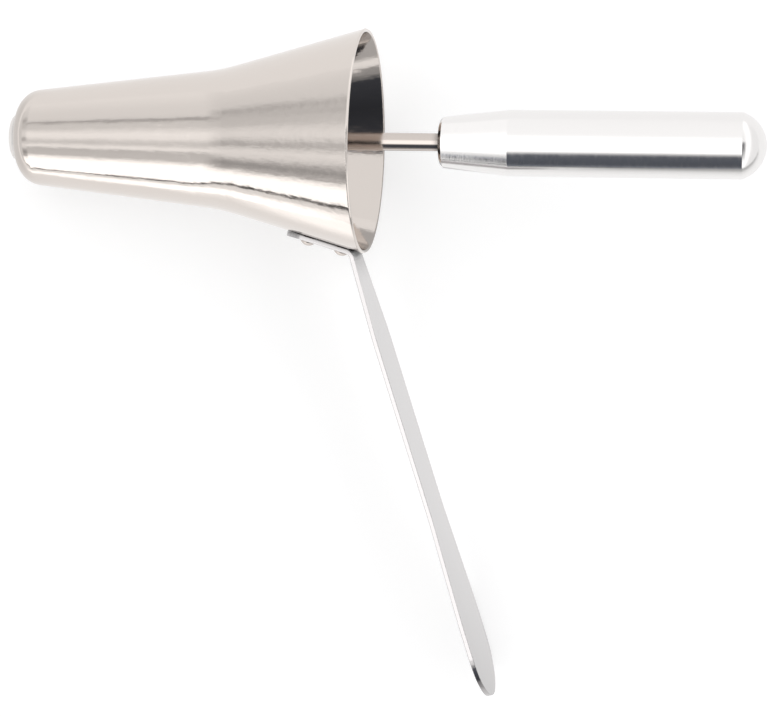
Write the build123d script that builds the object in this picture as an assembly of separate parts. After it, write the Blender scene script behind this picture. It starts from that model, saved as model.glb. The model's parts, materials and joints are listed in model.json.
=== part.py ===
from build123d import *
import os
from math import asin, atan2, cos, degrees, hypot, pi, radians, sin, sqrt, tan

# Anal speculum with a riveted strap handle and its obturator. Lengths are in millimetres.
# The instrument is drawn along +X, from the nose to the grip, with the strap handle towards -Y.
# Every radius and station (distance along +X) of the sheath and the obturator is about that axis.

# Sheath: one spun steel cone, open at the nose and flared at the mouth
SHEATH_LENGTH = 79.7
SHEATH_WALL = 0.8
MOUTH_RADIUS = 25.1
FLARE_ANGLE = 15.9
FLARE_LENGTH = 33.0
FLARE_BLEND_RADIUS = 45.0
NOSE_RADIUS = 10.9
NOSE_ROUNDING = 5.4
NOSE_OPENING_RADIUS = 5.7
EDGE_EASING = 0.3

# Strap handle: one steel strip, riveted to the flare and bent out beside the mouth
STRAP_THICKNESS = 1.0
TAB_WIDTH = 10.4
TAB_LENGTH = 14.6
TAB_CORNER_RADIUS = 4.0
TAB_TO_RIM = 3.8
TAB_SEAT_GAP = 0.15
BEND_RADIUS = 1.7
HANDLE_LEAN = 17.4
HANDLE_LENGTH = 104.5
SHANK_START = 18.0
SHANK_WIDTH = 16.8
PADDLE_LENGTH = 44.0
PADDLE_TAPER_LENGTH = 24.0
PADDLE_WIDTH = 22.8
OUTLINE_ROUNDING = 30.0

# Rivets: a domed head on the strap and a flat closing head inside the flare
RIVET_SETBACK = 4.8
RIVET_PITCH = 7.9
RIVET_SHANK_RADIUS = 1.2
RIVET_HOLE_CLEARANCE = 0.03
RIVET_HEAD_RADIUS = 1.85
RIVET_HEAD_HEIGHT = 1.1
CLOSING_HEAD_RADIUS = 1.7
CLOSING_HEAD_HEIGHT = 0.35

# Obturator head: a plug turned to fit the sheath's taper and nose opening, with a coned shoulder
HEAD_CLEARANCE = 0.25
HEAD_TIP_PROUD = 1.9
HEAD_TIP_DOME_RADIUS = 30.0
HEAD_TIP_ROUNDING = 1.5
HEAD_LENGTH = 26.0
HEAD_BACK_CHAMFER = 1.0

# Obturator rod, held in a blind hole of the head and of the grip
ROD_RADIUS = 2.0
ROD_FIT = 0.02
HEAD_SOCKET_DEPTH = 14.0
GRIP_SOCKET_DEPTH = 18.0

# Obturator grip: turned aluminium with a coned front and a domed end
GRIP_TO_MOUTH = 16.7
GRIP_LENGTH = 71.7
GRIP_RADIUS = 7.35
GRIP_FRONT_RADIUS = 5.6
GRIP_CONE_LENGTH = 15.5
GRIP_FRONT_CHAMFER = 0.7
GRIP_DOME_HEIGHT = 5.2


# The nose rounding turns in about its centre, up to the lip of the opening. The centre's station
# puts the foremost point of the lip at 0.
NOSE_CENTRE_RADIUS = NOSE_RADIUS - NOSE_ROUNDING
LIP_ANGLE = pi - asin((NOSE_OPENING_RADIUS - NOSE_CENTRE_RADIUS) / (NOSE_ROUNDING - SHEATH_WALL))
NOSE_STATION = -NOSE_ROUNDING * cos(LIP_ANGLE - EDGE_EASING / NOSE_ROUNDING)

# Outer corner between taper and flare, and the taper that runs from it to the nose rounding
CORNER = (SHEATH_LENGTH - FLARE_LENGTH, MOUTH_RADIUS - FLARE_LENGTH * tan(radians(FLARE_ANGLE)))
NOSE_TO_CORNER = (CORNER[0] - NOSE_STATION, CORNER[1] - NOSE_CENTRE_RADIUS)
TAPER_ANGLE = degrees(
    atan2(NOSE_TO_CORNER[1], NOSE_TO_CORNER[0]) - asin(NOSE_ROUNDING / hypot(*NOSE_TO_CORNER))
)


class Wall:
    """The sheath's wall line at a depth below its outer surface, from the nose lip to the rim."""

    def __init__(self, depth):
        half_turn = radians(FLARE_ANGLE - TAPER_ANGLE) / 2
        middle = radians(FLARE_ANGLE + TAPER_ANGLE) / 2
        inset = depth / cos(half_turn)
        self.depth = depth
        self.nose_arc = NOSE_ROUNDING - depth
        self.taper_start = self.on_nose(pi / 2 + radians(TAPER_ANGLE))
        self.corner = (CORNER[0] + inset * sin(middle), CORNER[1] - inset * cos(middle))
        self.blend = FLARE_BLEND_RADIUS + depth

    def on_nose(self, angle):
        """Point of the nose rounding at an angle from +X, in radians."""
        station = NOSE_STATION + self.nose_arc * cos(angle)
        return (station, NOSE_CENTRE_RADIUS + self.nose_arc * sin(angle))

    def nose_angle(self, radius):
        """Angle, in radians from +X, at which the nose rounding has turned in to a radius."""
        return pi - asin((radius - NOSE_CENTRE_RADIUS) / self.nose_arc)

    def nose_from(self, angle):
        """The nose rounding, from an angle to the start of the taper."""
        middle = (angle + pi / 2 + radians(TAPER_ANGLE)) / 2
        return ThreePointArc(self.on_nose(angle), self.on_nose(middle), self.taper_start)

    def taper_radius(self, station):
        """Radius of the straight taper at a station."""
        return self.taper_start[1] + (station - self.taper_start[0]) * tan(radians(TAPER_ANGLE))

    def at_rim(self, back):
        """Point of the straight flare at a distance back from the rim."""
        flare = radians(FLARE_ANGLE)
        station = SHEATH_LENGTH + self.depth * sin(flare) - back * cos(flare)
        return (station, MOUTH_RADIUS - self.depth * cos(flare) - back * sin(flare))

    def at_lip(self, back):
        """Angle of the nose rounding, in radians, at a distance back from the lip."""
        return LIP_ANGLE - back / self.nose_arc

    def line(self):
        """The whole line between its eased edges at the lip and at the rim."""
        flank = FilletPolyline(
            self.taper_start, self.corner, self.at_rim(EDGE_EASING), radius=self.blend
        )
        return self.nose_from(self.at_lip(EDGE_EASING)).edges() + flank.edges()


# Directions along the strap, in degrees from +X: down the flare, then out along the handle
TAB_DIRECTION = -FLARE_ANGLE
HANDLE_DIRECTION = HANDLE_LEAN - 90


def along(angle):
    """Unit vector in the XY plane at an angle from +X, in degrees."""
    return Vector(cos(radians(angle)), sin(radians(angle)))


def outward(angle):
    """Normal of the strap's outer face where the strap runs at an angle, in degrees."""
    return Vector(sin(radians(angle)), -cos(radians(angle)))


def bar(start, end, radius):
    """Round bar along the instrument's axis between two stations."""
    from_start = (Align.CENTER, Align.CENTER, Align.MIN)
    return Plane.YZ.offset(start) * Cylinder(radius, end - start, align=from_start)


def bored(solid, start, end, radius):
    """The solid with a straight hole along the instrument's axis between two stations."""
    return solid - bar(start, end, radius)


def make_sheath():
    """The wall between its outer and inner lines, with eased corners at lip and rim, spun."""
    outer, inner = Wall(0), Wall(SHEATH_WALL)
    corners = [Wall(EDGE_EASING), Wall(SHEATH_WALL - EDGE_EASING)]
    lip_ends = [wall.on_nose(wall.at_lip(EDGE_EASING)) for wall in (outer, inner)]
    lip = Polyline(lip_ends[0], *[wall.on_nose(LIP_ANGLE) for wall in corners], lip_ends[1])
    rim_ends = [wall.at_rim(EDGE_EASING) for wall in (outer, inner)]
    rim = Polyline(rim_ends[0], *[wall.at_rim(0) for wall in corners], rim_ends[1])
    sheath = revolve(make_face(lip.edges() + outer.line() + rim.edges() + inner.line()), Axis.X)
    for hole in rivet_holes():
        sheath -= hole
    return sheath


def bend_start():
    """Middle of the strap where the tab ends and the bend begins, near the rim."""
    back = Vector(SHEATH_LENGTH, -MOUTH_RADIUS) - along(TAB_DIRECTION) * TAB_TO_RIM
    return back + outward(TAB_DIRECTION) * (TAB_SEAT_GAP + STRAP_THICKNESS / 2)


def bend_point(direction):
    """Middle of the strap where the bend has turned it to a direction, in degrees."""
    radius = BEND_RADIUS + STRAP_THICKNESS / 2
    return bend_start() + (outward(TAB_DIRECTION) - outward(direction)) * radius


def tab_point(reach):
    """Middle of the strap at a distance from the tab's free end."""
    return bend_start() + along(TAB_DIRECTION) * (reach - TAB_LENGTH)


def dish_depth(point, width):
    """Depth by which the edges of a strip of a width follow the round flare at its middle."""
    seat_radius = -point.Y / cos(radians(FLARE_ANGLE))
    return (width / 2) ** 2 / (2 * seat_radius)


def strap_section(point, direction, width, dish):
    """Cross-section of the strip, dished by a depth at its edges towards the sheath."""
    face, half = STRAP_THICKNESS / 2, width / 2
    profile = [
        Bezier((face - dish, half), (face + dish, 0), (face - dish, -half)),
        Line((face - dish, -half), (-face - dish, -half)),
        Bezier((-face - dish, -half), (-face + dish, 0), (-face - dish, half)),
        Line((-face - dish, half), (face - dish, half)),
    ]
    plane = Plane(point, x_dir=outward(direction), z_dir=along(direction))
    return plane * make_face(profile)


def make_tab():
    """The riveted tab: a dished strip cut to an outline with rounded corners at its free end."""
    blank = 1.5 * TAB_WIDTH
    ends = [tab_point(0), tab_point(TAB_LENGTH)]
    strip = loft([strap_section(end, TAB_DIRECTION, blank, dish_depth(end, blank)) for end in ends])
    outline = Rectangle(TAB_LENGTH, TAB_WIDTH, align=(Align.MIN, Align.CENTER))
    outline = fillet(outline.vertices().group_by(Axis.X)[0], TAB_CORNER_RADIUS)
    plane = Plane(tab_point(0), x_dir=along(TAB_DIRECTION), z_dir=outward(TAB_DIRECTION))
    return strip & extrude(plane * outline, 2 * STRAP_THICKNESS, both=True)


def make_bend():
    """The bend, which also flattens the dished strip for the handle."""
    sections = []
    for share in (0, 0.25, 0.5, 0.75, 1):
        direction = TAB_DIRECTION + share * (HANDLE_DIRECTION - TAB_DIRECTION)
        dish = (1 - share) * dish_depth(bend_start(), TAB_WIDTH)
        sections.append(strap_section(bend_point(direction), direction, TAB_WIDTH, dish))
    return loft(sections)


def make_handle():
    """The flat handle: a slim shank that widens to a paddle with a round tip."""
    tip = HANDLE_LENGTH - PADDLE_WIDTH / 2
    shank_end = HANDLE_LENGTH - PADDLE_LENGTH
    widths = [
        (0, TAB_WIDTH),
        (SHANK_START, SHANK_WIDTH),
        (shank_end, SHANK_WIDTH),
        (shank_end + PADDLE_TAPER_LENGTH, PADDLE_WIDTH),
        (tip, PADDLE_WIDTH),
    ]
    upper = [(reach, width / 2) for reach, width in widths]
    lower = [(reach, -half) for reach, half in reversed(upper)]
    outline = [
        Polyline(*upper),
        ThreePointArc(upper[-1], (HANDLE_LENGTH, 0), lower[0]),
        Polyline(*lower),
        Line(lower[-1], upper[0]),
    ]
    face = make_face(outline)
    turns = [reach for reach, width in widths[1:-1]]
    corners = [v for v in face.vertices() if min(abs(v.X - reach) for reach in turns) < 0.001]
    face = fillet(corners, OUTLINE_ROUNDING)
    plane = Plane(
        bend_point(HANDLE_DIRECTION), x_dir=along(HANDLE_DIRECTION), z_dir=outward(HANDLE_DIRECTION)
    )
    return extrude(plane * face, STRAP_THICKNESS / 2, both=True)


def rivet_planes():
    """A plane on the strap's outer face at each rivet, looking outwards."""
    facing = outward(TAB_DIRECTION)
    planes = []
    for reach in (RIVET_SETBACK, RIVET_SETBACK + RIVET_PITCH):
        seat = tab_point(reach) + facing * STRAP_THICKNESS / 2
        planes.append(Plane(seat, x_dir=along(TAB_DIRECTION), z_dir=facing))
    return planes


def rivet_holes():
    """Cutters for the holes through the tab and the flare."""
    radius = RIVET_SHANK_RADIUS + RIVET_HOLE_CLEARANCE
    depth = 3 * (STRAP_THICKNESS + SHEATH_WALL)
    return [plane * Cylinder(radius, depth) for plane in rivet_planes()]


def make_strap():
    """The whole strip, drilled for the rivets."""
    strip = make_tab() + make_bend() + make_handle()
    for hole in rivet_holes():
        strip -= hole
    return strip


def make_rivet(plane):
    """A rivet closed through the tab and the flare, domed outside and flat inside."""
    dome = (RIVET_HEAD_RADIUS**2 + RIVET_HEAD_HEIGHT**2) / (2 * RIVET_HEAD_HEIGHT)
    half_angle = asin(RIVET_HEAD_RADIUS / dome) / 2
    shoulder = (dome * sin(half_angle), RIVET_HEAD_HEIGHT - dome * (1 - cos(half_angle)))
    flare_curve = (-plane.origin.Y - STRAP_THICKNESS - SHEATH_WALL) / cos(radians(FLARE_ANGLE))
    seat = -STRAP_THICKNESS - TAB_SEAT_GAP - SHEATH_WALL - CLOSING_HEAD_RADIUS**2 / (2 * flare_curve)
    profile = [
        ThreePointArc((0, RIVET_HEAD_HEIGHT), shoulder, (RIVET_HEAD_RADIUS, 0)),
        Polyline(
            (RIVET_HEAD_RADIUS, 0),
            (RIVET_SHANK_RADIUS, 0),
            (RIVET_SHANK_RADIUS, seat),
            (CLOSING_HEAD_RADIUS, seat),
            (CLOSING_HEAD_RADIUS, seat - CLOSING_HEAD_HEIGHT),
            (0, seat - CLOSING_HEAD_HEIGHT),
            (0, RIVET_HEAD_HEIGHT),
        ),
    ]
    return plane * revolve(Plane.XZ * make_face(profile), Axis.Z)


def make_head():
    """The obturator's head: a domed tip through the nose opening, a coned shoulder and a flank."""
    fit = Wall(SHEATH_WALL + HEAD_CLEARANCE)
    neck = NOSE_OPENING_RADIUS - HEAD_CLEARANCE
    sag = HEAD_TIP_DOME_RADIUS - sqrt(HEAD_TIP_DOME_RADIUS**2 - neck**2)
    tip, tip_edge = (-HEAD_TIP_PROUD, 0), (sag - HEAD_TIP_PROUD, neck)
    back = HEAD_LENGTH - HEAD_TIP_PROUD
    back_edge = (back, fit.taper_radius(back))
    shoulder = [fit.on_nose(fit.nose_angle(neck)), fit.taper_start]
    profile = [
        RadiusArc(tip, tip_edge, HEAD_TIP_DOME_RADIUS),
        Polyline(tip_edge, *shoulder, back_edge, (back, 0), tip),
    ]
    face = make_face([edge for line in profile for edge in line.edges()])
    face = fillet(face.vertices().sort_by_distance((*tip_edge, 0))[0], HEAD_TIP_ROUNDING)
    face = chamfer(face.vertices().sort_by_distance((*back_edge, 0))[0], HEAD_BACK_CHAMFER)
    return bored(revolve(face, Axis.X), back - HEAD_SOCKET_DEPTH, back, ROD_RADIUS + ROD_FIT)


def make_rod():
    """The plain round rod between the bottoms of its two sockets."""
    start = HEAD_LENGTH - HEAD_TIP_PROUD - HEAD_SOCKET_DEPTH
    end = SHEATH_LENGTH + GRIP_TO_MOUTH + GRIP_SOCKET_DEPTH
    return bar(start, end, ROD_RADIUS)


def make_grip():
    """The grip, turned from bar: an eased front, a cone, a cylinder and a domed end."""
    front = SHEATH_LENGTH + GRIP_TO_MOUTH
    end = front + GRIP_LENGTH
    front_edge = (front, GRIP_FRONT_RADIUS)
    cone_end = (front + GRIP_CONE_LENGTH, GRIP_RADIUS)
    dome_start = (end - GRIP_DOME_HEIGHT, GRIP_RADIUS)
    dome = (GRIP_RADIUS**2 + GRIP_DOME_HEIGHT**2) / (2 * GRIP_DOME_HEIGHT)
    profile = [
        Polyline((end, 0), (front, 0), front_edge, cone_end, dome_start),
        RadiusArc(dome_start, (end, 0), dome),
    ]
    face = make_face([edge for line in profile for edge in line.edges()])
    face = chamfer(face.vertices().sort_by_distance((*front_edge, 0))[0], GRIP_FRONT_CHAMFER)
    return bored(revolve(face, Axis.X), front, front + GRIP_SOCKET_DEPTH, ROD_RADIUS + ROD_FIT)


def rest_pitch():
    """Angle, in degrees, by which the axis rises when nose and rim lie on a flat surface."""
    rim = Wall(0).at_rim(EDGE_EASING)
    run, drop = rim[0] - NOSE_STATION, rim[1] - NOSE_CENTRE_RADIUS
    return degrees(atan2(drop, run) - asin(NOSE_ROUNDING / hypot(run, drop)))


def height(vector, pitch, roll):
    """Height that a vector of the instrument gains when it lies at a pitch and a roll."""
    across = vector.Y * sin(radians(roll)) + vector.Z * cos(radians(roll))
    return vector.X * sin(radians(pitch)) + across * cos(radians(pitch))


def paddle_low(pitch, roll):
    """Height of the paddle's lowest point above the surface under nose and rim."""
    nose = height(Vector(NOSE_STATION, 0, 0), pitch, 0) - NOSE_ROUNDING
    nose -= NOSE_CENTRE_RADIUS * cos(radians(pitch))
    reach = HANDLE_LENGTH - PADDLE_WIDTH / 2
    centre = bend_point(HANDLE_DIRECTION) + along(HANDLE_DIRECTION) * reach
    slope = hypot(height(along(HANDLE_DIRECTION), pitch, roll), height(Vector(0, 0, 1), pitch, roll))
    lean = abs(height(outward(HANDLE_DIRECTION), pitch, roll))
    drop = PADDLE_WIDTH / 2 * slope + STRAP_THICKNESS / 2 * lean
    return height(centre, pitch, roll) - drop - nose


def rest_roll(pitch):
    """Angle, in degrees, by which the instrument rolls until the paddle touches the surface."""
    low, high = 0.0, 45.0
    while high - low > 1e-7:
        middle = (low + high) / 2
        if paddle_low(pitch, middle) > 0:
            low = middle
        else:
            high = middle
    return low


def laid_down(parts):
    """The parts as they lie on a surface at Z 0, centred over the origin."""
    pitch = rest_pitch()
    turn = Rot(Y=-pitch) * Rot(X=rest_roll(pitch))
    turned = {name: turn * part for name, part in parts.items()}
    box = Compound(list(turned.values())).bounding_box()
    shift = Pos(-box.center().X, -box.center().Y, -box.min.Z)
    return {name: shift * part for name, part in turned.items()}


front_plane, rear_plane = rivet_planes()
pieces = {
    "speculum_tube": make_sheath(),
    "strap_handle": make_strap(),
    "front_rivet": make_rivet(front_plane),
    "rear_rivet": make_rivet(rear_plane),
    "obturator_head": make_head(),
    "obturator_rod": make_rod(),
    "obturator_grip": make_grip(),
}
os.makedirs("parts", exist_ok=True)
for name, piece in laid_down(pieces).items():
    export_step(piece, f"parts/{name}.step")
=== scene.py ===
import json
from math import atan2, pi, radians

import bpy
from mathutils import Matrix, Vector

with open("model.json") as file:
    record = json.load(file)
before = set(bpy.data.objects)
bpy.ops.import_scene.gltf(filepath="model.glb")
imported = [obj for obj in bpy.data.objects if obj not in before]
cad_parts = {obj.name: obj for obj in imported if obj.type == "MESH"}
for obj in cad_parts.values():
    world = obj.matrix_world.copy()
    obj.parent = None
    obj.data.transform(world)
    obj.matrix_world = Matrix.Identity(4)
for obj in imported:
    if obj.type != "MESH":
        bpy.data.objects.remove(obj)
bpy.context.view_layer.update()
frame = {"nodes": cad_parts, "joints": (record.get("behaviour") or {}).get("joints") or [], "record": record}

# A flared steel speculum with a riveted strap handle, lying on a pale table with its obturator in
# it. Lengths are in metres. The instrument's axis rises from the nose, at -X, to the grip, at +X.

MM = 0.001

# The instrument's axis: a point on it, in the grip, and its rise above the table
axis = Vector(frame["joints"][0]["axis"])
grip = next(mount for mount in frame["record"]["mounts"] if mount["name"] == "grip")
AXIS_POINT = Vector(grip["pos_m"])
AXIS_RISE = atan2(axis.z, axis.x)

# Camera: it looks down from above the middle of the instrument
CAMERA_PLACE = Vector((-13.73, 1.54, 608.2)) * MM
CAMERA_LEAN = 0.029
CAMERA_TURN = radians(1.43)
CAMERA_LENS = 121.07
SENSOR_WIDTH = 36.0

# Steel: how many buffing marks come in a metre along the axis and across it, which makes each 17 mm
# long and 0.7 mm wide, their depth and the roughness that they add, how many waves come in a metre,
# which makes them 3 mm long, their depth, and the radius of the edges
BUFFING_MARKS = (60, 1500, 1500)
BUFFING_DEPTH = 0.02 * MM
BUFFING_HAZE = 0.07
WAVES = 330.0
WAVE_DEPTH = 0.08 * MM
ROUNDED_EDGE = 0.25 * MM

# Painted shade where another piece is seated, which darkens the steel's colour in the gaps: how far
# from that piece it reaches, its colour, and the shares of open space above the steel at which it is
# full and at which it ends
PAINTED_SHADE_REACH = 2.0 * MM
PAINTED_SHADE_CODE = "#3A3836"
PAINTED_SHADE_FULL, PAINTED_SHADE_END = 0.4, 0.95

# Aluminium: tool marks 0.4 mm apart along the axis and 2 mm long round it, as marks in a metre
TOOL_MARKS = (2500, 500, 500)
TOOL_MARK_DEPTH = 0.03 * MM

# Marks of either kind make the metal rougher between these heights of their noise
SMOOTH_HEIGHT, ROUGH_HEIGHT = 0.3, 0.7

# Table: its size and the height of its top, its colour, and what the camera sees of it, which is a
# share of the light on it and an even brightness added so that it is white but for the shadows
TABLE_SIZE = 4.0
TABLE_TOP = -0.05 * MM
TABLE_CODE = "#F4F4F4"
SEEN_SHARE = (0.6, 0.6, 0.6, 1.0)
SEEN_LIFT = 0.57

# The table as the steel mirrors it: the Y at which it starts to darken, the Y at which it is
# darkest, and how bright it is there. For the sheath only its far edge is dark, which draws the
# dark line in the sheath's highlight. Between two X it passes to what the grip mirrors.
SEEN_BY_SHEATH = (-0.28, -0.42, 0.1)
SEEN_BY_GRIP = (0.0, -0.2, 0.45)
SHEATH_END, GRIP_START = 0.02, 0.04

# Light tent. Each list gives its brightness at an angle, in degrees, towards +Y or -Y: half of the
# direction's own angle from straight up, so that a round bar shows it at that angle round itself.
# Beyond its first and last angle a list holds. NOSE, FLARE, TAPER, CONE and DOME are named for what
# reflects them, ABOVE is for the rod and the grip's cylinder, and AHEAD is what shows in the mouth.
# At -Y the tent is white for the flare and the taper, and for CONE and ABOVE it is open there, on a
# dark room.
NOSE_LEVEL = 0.8
NOSE = ((0, NOSE_LEVEL),)
TAPER = (
    (-41.5, 1.7),
    (-27, 1.6),
    (-24, 1.1),
    (-22, 0.72),
    (-14.5, 0.66),
    (-13, 1.05),
    (-11, 1.1),
    (-9.5, 0.9),
    (-7, 0.76),
    (-5, 0.85),
    (-2, 1.08),
    (2, 1.12),
    (6, 0.94),
    (8.5, 0.81),
    (12, 0.8),
    (13.8, 0.7),
    (14.8, 0.5),
    (15.8, 0.5),
    (17.5, 0.85),
    (20.5, 0.9),
    (27.5, 0.92),
    (33.5, 0.97),
    (39.5, 1.02),
    (90, 1.04),
)
FLARE = (
    (-30, 1.6),
    (-27, 1.1),
    (-25.5, 0.6),
    (-21, 0.38),
    (-18.5, 0.5),
    (-15, 0.9),
    (-11, 0.98),
    (-8.5, 0.88),
    (-6, 0.54),
    (-4, 0.56),
    (-1.5, 0.78),
    (0.5, 0.92),
    (3.5, 0.93),
    (6.5, 0.86),
    (9.5, 0.71),
    (15.5, 0.7),
    (18.5, 0.6),
    (20.5, 0.56),
    (22.5, 0.7),
    (24.5, 0.83),
    (33.5, 0.89),
    (39.5, 0.95),
    (90, 1.02),
)
CONE = (
    (-90, 1.0),
    (-45, 0.85),
    (-42, 0.3),
    (-39, 0.05),
    (-36, 0.05),
    (-32, 0.2),
    (-28, 0.65),
    (-24, 1.0),
    (-21, 1.4),
    (-17, 1.6),
    (9, 1.6),
    (15, 1.2),
    (21, 1.1),
    (90, 1.05),
)
ABOVE = (
    (-90, 0.9),
    (-44.5, 0.2),
    (-42, 0.08),
    (-23, 0.1),
    (-19.5, 0.5),
    (-16, 1.3),
    (-13, 1.7),
    (6, 1.6),
    (9, 1.2),
    (13, 1.05),
    (90, 1.0),
)
AHEAD = (
    (-41, 0.35),
    (-37, 0.05),
    (-20, 0.03),
    (3, 0.05),
    (5, 0.95),
)
DOME = ((0, 1.25),)
DOME_EDGE = ((0, 0.92),)

# What follows the nose's list towards +X: where each list starts to show and where it shows alone,
# as the direction's X over its Z plus 1
TENT = (
    (-0.8, -0.68, FLARE),
    (-0.53, -0.43, TAPER),
    (-0.325, -0.31, CONE),
    (-0.24, -0.21, ABOVE),
    (-0.03, 0.02, AHEAD),
    (0.3, 0.38, DOME),
    (0.5, 0.6, DOME_EDGE),
)

# What is darker than this in the tent is tinted blue
DARK = 0.3
DARK_TINT = (0.92, 1.0, 1.2)

# Soft round spots in which the steel mirrors the table brighter or dimmer: the centre, the
# distances from it at which the spot starts to fade and ends, and its brightness
SPOTS = (
    ((-0.14, 0.05, 0.0), 0.04, 0.07, NOSE_LEVEL),  # before the nose
    ((-0.035, -0.045, 0.0), 0.02, 0.05, 1.45),  # beside the neck
    ((-0.098, -0.05, 0.0), 0.025, 0.048, 1.6),  # beside the nose
    ((-0.085, -0.12, 0.0), 0.03, 0.055, 1.4),  # before the flare
    ((0.004, 0.046, 0.0), 0.012, 0.025, 0.5),  # beside the mouth
)


def linear(code):
    """An sRGB hex colour as linear red, green, blue and alpha."""
    channels = [int(code[i : i + 2], 16) / 255 for i in (1, 3, 5)]
    colour = [c / 12.92 if c <= 0.04045 else ((c + 0.055) / 1.055) ** 2.4 for c in channels]
    return (*colour, 1.0)


def add_node(tree, kind, values=(), links=(), **properties):
    """A new node with its properties, its inputs' values and the sockets that its inputs take."""
    made = tree.nodes.new(kind)
    for name, value in properties.items():
        setattr(made, name, value)
    for name, value in dict(values).items():
        made.inputs[name].default_value = value
    for name, source in dict(links).items():
        tree.links.new(source, made.inputs[name])
    return made


def new_material(name):
    """An empty material and its node tree."""
    material = bpy.data.materials.new(name)
    material.use_nodes = True
    material.node_tree.nodes.clear()
    return material, material.node_tree


def along_axis(tree):
    """Object coordinates turned so that X runs along the instrument's axis, from a point on it."""
    place = add_node(tree, "ShaderNodeTexCoord")
    turned = add_node(
        tree,
        "ShaderNodeMapping",
        {"Location": AXIS_POINT, "Rotation": (0, -AXIS_RISE, 0)},
        {"Vector": place.outputs["Object"]},
        vector_type="TEXTURE",
    )
    return turned.outputs["Vector"]


def worked_marks(tree, place, marks_in_metre, detail, roughness, roughened):
    """Marks of the working, along and across the axis: their height, and the roughness that they
    give the metal, from its own to what it is roughened to."""
    stretched = add_node(tree, "ShaderNodeMapping", {"Scale": marks_in_metre}, {"Vector": place})
    marks = add_node(
        tree,
        "ShaderNodeTexNoise",
        {"Scale": 1.0, "Detail": detail},
        {"Vector": stretched.outputs["Vector"]},
    )
    rough = add_node(
        tree,
        "ShaderNodeMapRange",
        {
            "From Min": SMOOTH_HEIGHT,
            "From Max": ROUGH_HEIGHT,
            "To Min": roughness,
            "To Max": roughened,
        },
        {"Value": marks.outputs["Fac"]},
    )
    return marks.outputs["Fac"], rough.outputs["Result"]


def stainless_steel(name, code, roughness, mark_strength, wave_strength):
    """Stainless steel, a bright mirror that marks and waves of its working blur a little. Its edges
    are rounded by the buffing, and its colour is darkened as painted shade where another piece is
    seated. A stronger mark or wave bends more of what it mirrors."""
    material, tree = new_material(name)
    place = along_axis(tree)
    roughened = roughness + BUFFING_HAZE
    marks, rough = worked_marks(tree, place, BUFFING_MARKS, 3.0, roughness, roughened)
    waves = add_node(
        tree, "ShaderNodeTexNoise", {"Scale": WAVES, "Detail": 2.0}, {"Vector": place}
    )
    edges = add_node(tree, "ShaderNodeBevel", {"Radius": ROUNDED_EDGE}, samples=6)
    marked = add_node(
        tree,
        "ShaderNodeBump",
        {"Strength": mark_strength, "Distance": BUFFING_DEPTH},
        {"Height": marks, "Normal": edges.outputs["Normal"]},
    )
    waved = add_node(
        tree,
        "ShaderNodeBump",
        {"Strength": wave_strength, "Distance": WAVE_DEPTH},
        {"Height": waves.outputs["Fac"], "Normal": marked.outputs["Normal"]},
    )
    # Painted shade: the colour is darkened wherever the ambient occlusion finds another piece near
    painted_shade_ao = add_node(
        tree, "ShaderNodeAmbientOcclusion", {"Distance": PAINTED_SHADE_REACH}, samples=8
    )
    unshaded = add_node(
        tree,
        "ShaderNodeMapRange",
        {"From Min": PAINTED_SHADE_FULL, "From Max": PAINTED_SHADE_END},
        {"Value": painted_shade_ao.outputs["AO"]},
    )
    colour = add_node(
        tree,
        "ShaderNodeMix",
        {"A": linear(PAINTED_SHADE_CODE), "B": linear(code)},
        {"Factor": unshaded.outputs["Result"]},
        data_type="RGBA",
    )
    shader = add_node(
        tree,
        "ShaderNodeBsdfPrincipled",
        {"Metallic": 1.0},
        {
            "Base Color": colour.outputs["Result"],
            "Roughness": rough,
            "Normal": waved.outputs["Normal"],
        },
    )
    add_node(tree, "ShaderNodeOutputMaterial", (), {"Surface": shader.outputs["BSDF"]})
    return material


def turned_aluminium():
    """Aluminium turned on a lathe and left bright, with short fine tool marks round the axis that
    soften what it mirrors."""
    material, tree = new_material("turned_aluminium")
    marks, rough = worked_marks(tree, along_axis(tree), TOOL_MARKS, 4.0, 0.12, 0.2)
    marked = add_node(
        tree,
        "ShaderNodeBump",
        {"Strength": 0.2, "Distance": TOOL_MARK_DEPTH},
        {"Height": marks},
    )
    shader = add_node(
        tree,
        "ShaderNodeBsdfPrincipled",
        {"Base Color": linear("#F2F0EF"), "Metallic": 1.0},
        {"Roughness": rough, "Normal": marked.outputs["Normal"]},
    )
    add_node(tree, "ShaderNodeOutputMaterial", (), {"Surface": shader.outputs["BSDF"]})
    return material


def mirrored_table(tree):
    """The table's brightness as the steel mirrors it, which differs from place to place."""
    place = add_node(tree, "ShaderNodeTexCoord").outputs["Object"]
    split = add_node(tree, "ShaderNodeSeparateXYZ", (), {"Vector": place})
    by_sheath, by_grip = (
        add_node(
            tree,
            "ShaderNodeMapRange",
            {"From Min": start, "From Max": end, "To Min": 1.0, "To Max": darkest},
            {"Value": split.outputs["Y"]},
        )
        for start, end, darkest in (SEEN_BY_SHEATH, SEEN_BY_GRIP)
    )
    level = add_node(
        tree,
        "ShaderNodeMapRange",
        {"From Min": SHEATH_END, "From Max": GRIP_START},
        {
            "Value": split.outputs["X"],
            "To Min": by_sheath.outputs["Result"],
            "To Max": by_grip.outputs["Result"],
        },
    ).outputs["Result"]
    for centre, near, far, brightness in SPOTS:
        away = add_node(
            tree, "ShaderNodeVectorMath", {1: centre}, {0: place}, operation="DISTANCE"
        )
        spot = add_node(
            tree,
            "ShaderNodeMapRange",
            {"From Min": near, "From Max": far, "To Min": brightness, "To Max": 1.0},
            {"Value": away.outputs["Value"]},
            interpolation_type="SMOOTHSTEP",
        )
        level = add_node(
            tree, "ShaderNodeMath", (), {0: level, 1: spot.outputs["Result"]}, operation="MULTIPLY"
        ).outputs["Value"]
    return level


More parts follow.
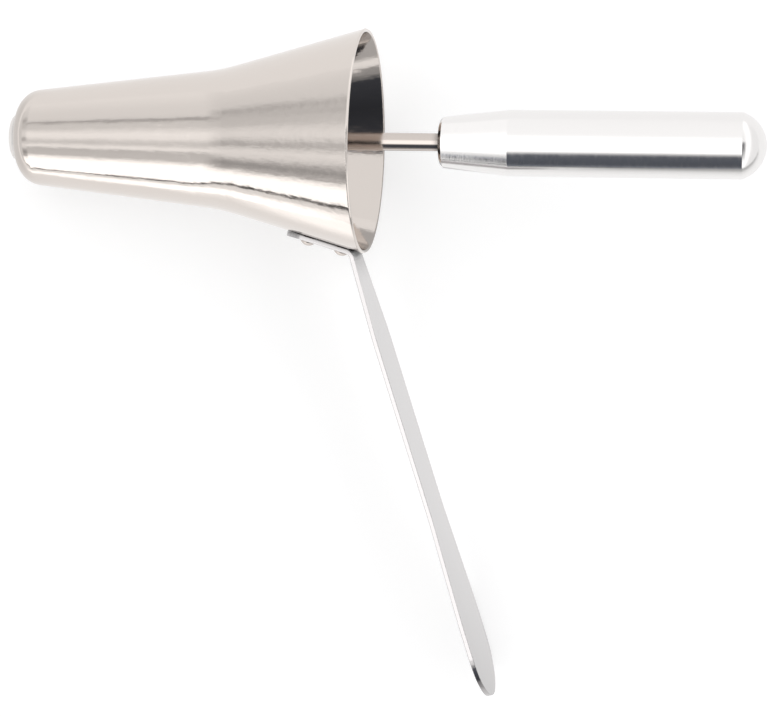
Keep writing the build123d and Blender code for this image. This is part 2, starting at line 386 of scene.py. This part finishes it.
def white_table():
    """Matt white laminate. The camera sees it as about white, with the soft shadows, and the steel
    mirrors it about as bright as the tent."""
    material, tree = new_material("white_table")
    path = add_node(tree, "ShaderNodeLightPath")
    colour = add_node(
        tree,
        "ShaderNodeMix",
        {"A": linear(TABLE_CODE), "B": SEEN_SHARE},
        {"Factor": path.outputs["Is Camera Ray"]},
        data_type="RGBA",
    )
    lift = add_node(
        tree,
        "ShaderNodeMath",
        {1: SEEN_LIFT},
        {0: path.outputs["Is Camera Ray"]},
        operation="MULTIPLY",
    )
    matt = add_node(tree, "ShaderNodeBsdfDiffuse", (), {"Color": colour.outputs["Result"]})
    lifted = add_node(tree, "ShaderNodeEmission", (), {"Strength": lift.outputs["Value"]})
    seen = add_node(
        tree, "ShaderNodeAddShader", (), {0: matt.outputs["BSDF"], 1: lifted.outputs["Emission"]}
    )
    mirrored = add_node(tree, "ShaderNodeEmission", (), {"Strength": mirrored_table(tree)})
    shader = add_node(
        tree,
        "ShaderNodeMixShader",
        (),
        {
            0: path.outputs["Is Glossy Ray"],
            1: seen.outputs["Shader"],
            2: mirrored.outputs["Emission"],
        },
    )
    add_node(tree, "ShaderNodeOutputMaterial", (), {"Surface": shader.outputs["Shader"]})
    return material


def make_table():
    """The table's flat top, just under the instrument."""
    bpy.ops.mesh.primitive_plane_add(size=TABLE_SIZE, location=(0, 0, TABLE_TOP))
    table = bpy.context.object
    table.name = "table"
    table.data.materials.append(white_table())


def tent_ramp(tree, share, levels):
    """One of the tent's lists as a colour, over a share of the half turn from -Y to +Y."""
    ramp = add_node(tree, "ShaderNodeValToRGB", (), {"Fac": share})
    elements = ramp.color_ramp.elements
    while len(elements) > 1:
        elements.remove(elements[0])
    for index, (angle, level) in enumerate(levels):
        position = angle / 180 + 0.5
        element = elements[0] if index == 0 else elements.new(position)
        element.position = position
        colour = [level * tint if level < DARK else level for tint in DARK_TINT]
        element.color = (*colour, 1.0)
    return ramp.outputs["Color"]


def blend(tree, value, start, end, first, second):
    """A colour that passes from the first to the second while the value goes from start to end."""
    share = add_node(
        tree, "ShaderNodeMapRange", {"From Min": start, "From Max": end}, {"Value": value}
    )
    mixed = add_node(
        tree,
        "ShaderNodeMix",
        (),
        {"Factor": share.outputs["Result"], "A": first, "B": second},
        data_type="RGBA",
    )
    return mixed.outputs["Result"]


def make_world():
    """The light tent round the table. The camera sees it as plain white."""
    world = bpy.data.worlds.new("light_tent")
    bpy.context.scene.world = world
    world.use_nodes = True
    tree = world.node_tree
    tree.nodes.clear()
    place = add_node(tree, "ShaderNodeTexCoord")
    split = add_node(tree, "ShaderNodeSeparateXYZ", (), {"Vector": place.outputs["Generated"]})
    raised = add_node(tree, "ShaderNodeMath", {1: 1.0}, {0: split.outputs["Z"]}, operation="ADD")
    angle = add_node(
        tree,
        "ShaderNodeMath",
        (),
        {0: split.outputs["Y"], 1: raised.outputs["Value"]},
        operation="ARCTAN2",
    )
    share = add_node(
        tree,
        "ShaderNodeMapRange",
        {"From Min": -pi / 2, "From Max": pi / 2},
        {"Value": angle.outputs["Value"]},
    )
    lean = add_node(
        tree,
        "ShaderNodeMath",
        (),
        {0: split.outputs["X"], 1: raised.outputs["Value"]},
        operation="DIVIDE",
    )
    tent = tent_ramp(tree, share.outputs["Result"], NOSE)
    for start, end, levels in TENT:
        following = tent_ramp(tree, share.outputs["Result"], levels)
        tent = blend(tree, lean.outputs["Value"], start, end, tent, following)
    path = add_node(tree, "ShaderNodeLightPath")
    seen = add_node(
        tree,
        "ShaderNodeMix",
        {"B": (1.0, 1.0, 1.0, 1.0)},
        {"Factor": path.outputs["Is Camera Ray"], "A": tent},
        data_type="RGBA",
    )
    sky = add_node(tree, "ShaderNodeBackground", (), {"Color": seen.outputs["Result"]})
    add_node(tree, "ShaderNodeOutputWorld", (), {"Surface": sky.outputs["Background"]})


def make_camera():
    """Camera turned a little about its own line of sight and leaned towards the grip."""
    forward = Vector((CAMERA_LEAN, 0, -1)).normalized()
    right = Matrix.Rotation(CAMERA_TURN, 3, "Z") @ Vector((1, 0, 0))
    right = (right - right.dot(forward) * forward).normalized()
    up = right.cross(forward)
    data = bpy.data.cameras.new("camera")
    data.sensor_width = SENSOR_WIDTH
    data.lens = CAMERA_LENS
    camera = bpy.data.objects.new("camera", data)
    turn = Matrix((right, up, -forward)).transposed().to_4x4()
    camera.matrix_world = Matrix.Translation(CAMERA_PLACE) @ turn
    bpy.context.scene.collection.objects.link(camera)
    bpy.context.scene.camera = camera


bpy.context.scene.view_settings.view_transform = "Standard"
make_camera()
make_table()
make_world()

# The sheath was spun and buffed, so faint streaks and waves run through what it mirrors. The rod
# and the rivets were drawn and mirror sharply. The obturator's head was finely ground and is pale
# and satin. The strap was rolled, and a faint haze lies over its grey mirror.
buffed = stainless_steel("polished_stainless_steel", "#DED6D0", 0.05, 0.5, 0.45)
drawn = stainless_steel("drawn_stainless_steel", "#CFC6C0", 0.04, 0.2, 0.0)
satin = stainless_steel("satin_stainless_steel", "#FFFBF8", 0.4, 0.1, 0.2)
rolled = stainless_steel("rolled_stainless_strip", "#CCC9C9", 0.1, 0.3, 0.3)
finishes = {
    "speculum_tube": buffed,
    "strap_handle": rolled,
    "front_rivet": drawn,
    "rear_rivet": drawn,
    "obturator_head": satin,
    "obturator_rod": drawn,
    "obturator_grip": turned_aluminium(),
}
for name, node in frame["nodes"].items():
    node.data.materials.clear()
    node.data.materials.append(finishes[name])
